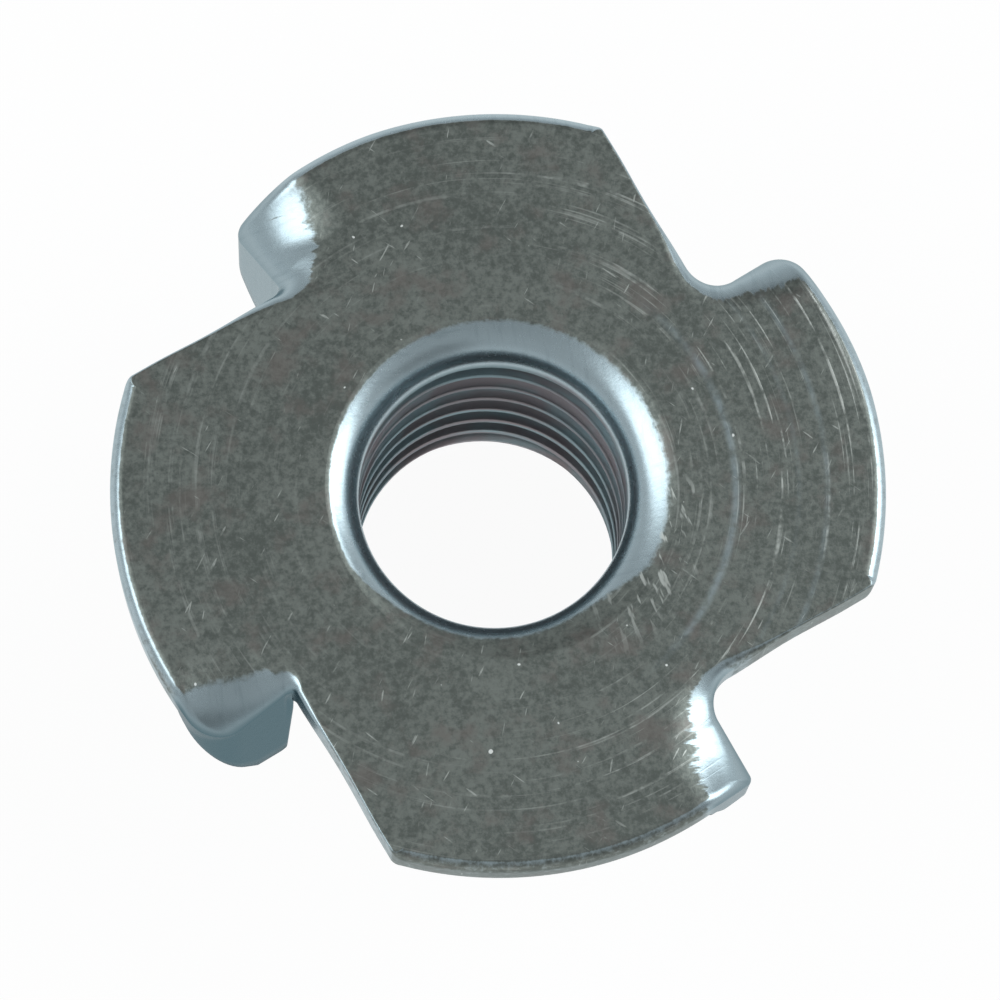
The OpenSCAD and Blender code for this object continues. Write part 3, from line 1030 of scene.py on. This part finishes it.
def plated_steel(f):
    """Zinc plate with a clear blue passivate. The bends look smooth and blue-grey beside the dull flat:
    partly painted sheen on the bends and painted shade on the flat.
    """
    m = bpy.data.materials.new("zinc_plated_steel")
    t = new_tree(m)
    place = node(t, "ShaderNodeTexCoord").outputs["Object"]
    worn_and_sheen = node(t, ATTRIBUTE, attribute_name="burnish_and_sheen").outputs["Fac"]
    patina_shade_mask = node(t, ATTRIBUTE, attribute_name="patina_shade_mask").outputs["Fac"]
    bore = node(t, ATTRIBUTE, attribute_name="bore").outputs["Fac"]
    flow = node(t, ATTRIBUTE, attribute_name="flow").outputs["Vector"]
    on_prong = node(t, "ShaderNodeSeparateXYZ", {0: flow}).outputs[2]
    # a grain of 0.18 mm, which every face of the plate has
    grain = node(t, NOISE, {"Vector": place, "Scale": per(0.1786), "Detail": 3.0, "Roughness": 0.7})
    uneven = node(t, MATHS, {0: grain, 1: 0.5}, operation="SUBTRACT")
    flat, arcs = dull_flat(t, f, place, grain)

    # streaks 0.15 mm wide and 1.1 mm long across the bend, where the sheet was stretched. The flow is in mm.
    pulled = node(t, VECTOR, {0: flow, 1: (1 / 0.1538, 1 / 1.111, 1.0)}, operation="MULTIPLY")
    drawn = node(t, NOISE, {"Vector": pulled, "Scale": 1.0, "Detail": 3.0, "Roughness": 0.65})
    streaks = node(t, MATHS, {0: drawn, 1: 0.5}, operation="SUBTRACT")
    for factor in (2.2, on_prong):
        streaks = node(t, MATHS, {0: streaks, 1: factor}, operation="MULTIPLY")
    # the smooth faces start with a speckle of the grain
    speckled = node(t, MATHS, {0: uneven, 1: 0.6, 2: worn_and_sheen}, operation="MULTIPLY_ADD")
    rubbing = node(t, MATHS, {0: speckled, 1: streaks}, operation="ADD")
    # turning away from the flat brings in the lighter bend colour: partly painted sheen
    rubbed_and_sheen = node(t, RANGE, {"Value": rubbing, "From Min": 0.28, "From Max": 0.66}, **SMOOTH)
    # painted shade, with a bluish patina, low on the prongs
    metal = node(t, MIX, {0: patina_shade_mask, 6: f.bright, 7: f.patina_shade}, **COLOUR)
    stained = node(t, RANGE, {"Value": drawn, "From Min": 0.48, "From Max": 0.75, "To Max": 0.22}, **SMOOTH)
    metal = node(t, MIX, {0: stained, 6: metal, 7: f.patina_shade}, **COLOUR)

    # inside the bore the plate is darker: teal to purplish brown, in patches 3.8 mm wide and 0.7 mm high
    high = node(t, VECTOR, {0: place, 1: (per(3.846), per(3.846), per(0.6667))}, operation="MULTIPLY")
    tint = node(t, NOISE, {"Vector": high, "Scale": 1.0, "Detail": 3.0, "Roughness": 0.6})
    warmth = node(t, RANGE, {"Value": tint, "From Min": 0.42, "From Max": 0.60}, **SMOOTH)
    shade = node(t, MIX, {0: warmth, 6: f.bore_cool, 7: f.bore_warm}, **COLOUR)
    metal = node(t, MIX, {0: bore, 6: metal, 7: shade}, **COLOUR)
    # the lighter bends over the darker flat: painted sheen and painted shade, along with the real difference
    # in finish
    base = node(t, MIX, {0: rubbed_and_sheen, 6: flat, 7: metal}, **COLOUR)

    # the flat is dull, the rubbed faces shine softly, and the bore is dull again
    rough = node(t, MATHS, {0: rubbed_and_sheen, 1: -0.16, 2: 0.42}, operation="MULTIPLY_ADD")
    rough = node(t, MATHS, {0: uneven, 1: 0.12, 2: rough}, operation="MULTIPLY_ADD")
    rough = node(t, MATHS, {0: bore, 1: 0.20, 2: rough}, operation="MULTIPLY_ADD")
    # a relief of 0.02 mm: the grain, weaker where it was rubbed, and the turned arcs
    left = node(t, MATHS, {0: rubbed_and_sheen, 1: -0.6, 2: 1.0}, operation="MULTIPLY_ADD")
    raised = node(t, MATHS, {0: grain, 1: left}, operation="MULTIPLY")
    relief = node(t, MATHS, {0: arcs, 1: 0.3, 2: raised}, operation="MULTIPLY_ADD")
    bump = node(t, "ShaderNodeBump", {"Strength": 0.35, "Distance": 0.02 * MM, "Height": relief})
    # the patina, which is painted shade on the prongs, and the bore reflect less at a glancing view than
    # bare metal does; on the prongs this darkens the painted shade further
    shade_and_bore = node(t, MATHS, {0: patina_shade_mask, 1: bore}, operation="MAXIMUM")
    edge = node(t, MIX, {0: shade_and_bore, 6: f.bare_glance, 7: f.glance}, **COLOUR)
    shader = node(t, "ShaderNodeBsdfPrincipled", {"Metallic": 1.0, "Base Color": base, "Specular Tint": edge,
                                                  "Roughness": rough, "Normal": bump})
    node(t, "ShaderNodeOutputMaterial", {"Surface": shader})
    return m


def pale_floor(f):
    """Matt pale floor that shows white to the view and keeps a soft shadow, so that the nut stands out."""
    m = bpy.data.materials.new("pale_floor")
    t = new_tree(m)
    ray = node(t, "ShaderNodeLightPath").outputs
    seen = node(t, MATHS, {0: ray["Is Camera Ray"], 1: ray["Is Glossy Ray"]}, operation="MAXIMUM")
    seen = node(t, MATHS, {0: seen, 1: ray["Is Transmission Ray"]}, operation="MAXIMUM")
    matt = node(t, "ShaderNodeBsdfDiffuse", {"Color": f.floor})
    glow = node(t, "ShaderNodeEmission", {"Color": WHITE, "Strength": 1.0})
    share = node(t, MATHS, {0: seen, 1: 0.95}, operation="MULTIPLY")
    both = node(t, "ShaderNodeMixShader", {0: share, 1: matt, 2: glow})
    node(t, "ShaderNodeOutputMaterial", {"Surface": both})
    return m


# ---------------------------------------------------------------- operators
FLOOR_HALF = 1.5            # metres from the middle of the floor to its edge
FLOOR_GAP = 0.02 * MM       # the floor lies a hair below, so that the barrel's end does not share its plane


def new_object(scene, name, bm, material):
    """Turns a bmesh into an object of the scene that wears a material."""
    mesh = bpy.data.meshes.new(name)
    bm.to_mesh(mesh)
    bm.free()
    mesh.materials.append(material)
    made = bpy.data.objects.new(name, mesh)
    scene.collection.objects.link(made)
    return made


class TEENUT_OT_body(bpy.types.Operator):
    """Builds the nut: barrel with its thread, flange, slits and prongs, in one piece"""
    bl_idname = "teenut.body"
    bl_label = "Tee nut"

    def execute(self, context):
        scene = context.scene
        s = in_millimetres(scene.teenut_sizes)
        bm = build_tee_nut(s)
        bmesh.ops.scale(bm, vec=(MM, MM, MM), verts=bm.verts)
        bmesh.ops.translate(bm, vec=(0, 0, s.nut_h * MM), verts=bm.verts)
        bm.normal_update()
        for face in bm.faces:
            face.smooth = True
        open_edges = sum(1 for e in bm.edges if not e.is_manifold)
        print("tee nut: faces", len(bm.faces), "open edges", open_edges)
        piece = new_object(scene, "tee_nut_plated", bm, plated_steel(scene.teenut_finish))
        paint_wear_and_light(piece.data, s)
        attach(piece, "root")
        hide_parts("tee_nut")
        return {"FINISHED"}


class TEENUT_OT_stage(bpy.types.Operator):
    """Sets the pale floor, the soft light and the camera"""
    bl_idname = "teenut.stage"
    bl_label = "Stage"

    def execute(self, context):
        scene = context.scene
        bm = bmesh.new()
        bmesh.ops.create_grid(bm, x_segments=1, y_segments=1, size=FLOOR_HALF)
        floor = new_object(scene, "floor", bm, pale_floor(scene.teenut_finish))
        floor.location.z = -FLOOR_GAP
        set_camera(scene, in_millimetres(scene.teenut_sizes))
        set_light(scene, scene.teenut_finish)
        scene.view_settings.view_transform = "Standard"
        return {"FINISHED"}


# ---------------------------------------------------------------- camera and light
# The camera stands almost over the nut, tilted by VIEW_TILT about a line turned by VIEW_AXIS.
VIEW_TILT = -12.25
VIEW_AXIS = -8.2
VIEW_DISTANCE = 14.0                # in flange radii, as is the shift to the right and up
VIEW_SHIFT = (0.002, -0.038)
FOCAL_SHARE = 5.4474                # focal length for the sensor's width
SENSOR_W = 36.0


def set_camera(scene, s):
    """Places the camera above the middle of the flange's outer face."""
    axis = unit(VIEW_AXIS).to_3d()
    turn = Matrix.Rotation(math.radians(VIEW_TILT), 3, axis).transposed()   # columns: right, up, back
    centre = Vector((s.flange_off_x, s.flange_off_y, s.nut_h))
    offset = turn @ Vector((*VIEW_SHIFT, VIEW_DISTANCE))
    place = (centre + offset * s.flange_d / 2) * MM
    data = bpy.data.cameras.new("camera")
    data.sensor_width = SENSOR_W
    data.lens = FOCAL_SHARE * SENSOR_W
    data.clip_start = 0.005
    data.clip_end = 10.0
    camera = bpy.data.objects.new("camera", data)
    camera.matrix_world = Matrix.Translation(place) @ turn.to_4x4()
    scene.collection.objects.link(camera)
    scene.camera = camera


# level of the soft surround at the zenith, half way down and at the horizon
ZENITH, MIDDLE, HORIZON = 0.42, 0.56, 0.86
# soft panels: (turn, height, inner half width, outer half width, all in degrees, and the level they add)
PANELS = (
    (180.0, 50.0, 12.0, 24.0, 2.6),     # left
    (30.0, 56.0, 8.0, 17.0, 2.6),       # back right
    (8.0, 44.0, 9.0, 20.0, 2.2),        # right
    (8.0, 24.0, 10.0, 22.0, 2.4),       # low on the right
    (90.0, 57.0, 8.0, 26.0, -0.36),     # a darker place behind
    (305.0, 20.0, 10.0, 26.0, -0.26),   # and one at the front right
)


def set_light(scene, f):
    """A soft surround that is darker overhead than at the horizon, with its soft panels."""
    scene.world = bpy.data.worlds.new("soft_surround")
    t = new_tree(scene.world)
    place = node(t, "ShaderNodeTexCoord").outputs["Generated"]
    high = node(t, "ShaderNodeSeparateXYZ", {0: place}).outputs["Z"]
    level = node(t, RANGE, {"Value": high, "From Min": 0.0, "From Max": 0.5,
                            "To Min": HORIZON, "To Max": MIDDLE}, **SMOOTH)
    above = node(t, RANGE, {"Value": high, "From Min": 0.6, "From Max": 1.0,
                            "To Max": ZENITH - MIDDLE}, **SMOOTH)
    level = node(t, MATHS, {0: level, 1: above}, operation="ADD")
    for turn, rise, inner, outer, gain in PANELS:
        aim = unit(turn).to_3d() * math.cos(math.radians(rise))
        aim.z = math.sin(math.radians(rise))
        near = node(t, VECTOR, {0: place, 1: aim}, operation="DOT_PRODUCT")
        panel = node(t, RANGE, {"Value": near, "From Min": math.cos(math.radians(outer)),
                                "From Max": math.cos(math.radians(inner)), "To Max": gain}, **SMOOTH)
        level = node(t, MATHS, {0: level, 1: panel}, operation="ADD")
    glow = node(t, "ShaderNodeBackground", {"Color": f.sky, "Strength": level})
    white = node(t, "ShaderNodeBackground", {"Color": WHITE, "Strength": 1.0})
    ray = node(t, "ShaderNodeLightPath").outputs["Is Camera Ray"]
    both = node(t, "ShaderNodeMixShader", {0: ray, 1: glow, 2: white})
    node(t, "ShaderNodeOutputWorld", {"Surface": both})


# ---------------------------------------------------------------- panel, and what runs it all
class TEENUT_PT_panel(bpy.types.Panel):
    """Sidebar panel that lists the sizes, the colours and the operators"""
    bl_label = "Tee nut"
    bl_idname = "TEENUT_PT_panel"
    bl_space_type = "VIEW_3D"
    bl_region_type = "UI"
    bl_category = "Tee nut"

    def draw(self, context):
        layout = self.layout
        for group in (context.scene.teenut_sizes, context.scene.teenut_finish):
            box = layout.box()
            for name in group.__annotations__:
                box.prop(group, name)
        for op in ("teenut.body", "teenut.stage"):
            layout.operator(op)


CLASSES = (TeeNutSizes, TeeNutFinish, TEENUT_OT_body, TEENUT_OT_stage, TEENUT_PT_panel)


def register():
    for c in CLASSES:
        bpy.utils.register_class(c)
    bpy.types.Scene.teenut_sizes = PointerProperty(type=TeeNutSizes)
    bpy.types.Scene.teenut_finish = PointerProperty(type=TeeNutFinish)


def unregister():
    del bpy.types.Scene.teenut_finish
    del bpy.types.Scene.teenut_sizes
    for c in reversed(CLASSES):
        bpy.utils.unregister_class(c)


def main():
    """Builds the nut and its stage."""
    register()
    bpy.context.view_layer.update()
    bpy.ops.teenut.body()
    bpy.ops.teenut.stage()


if __name__ == "__main__":
    main()
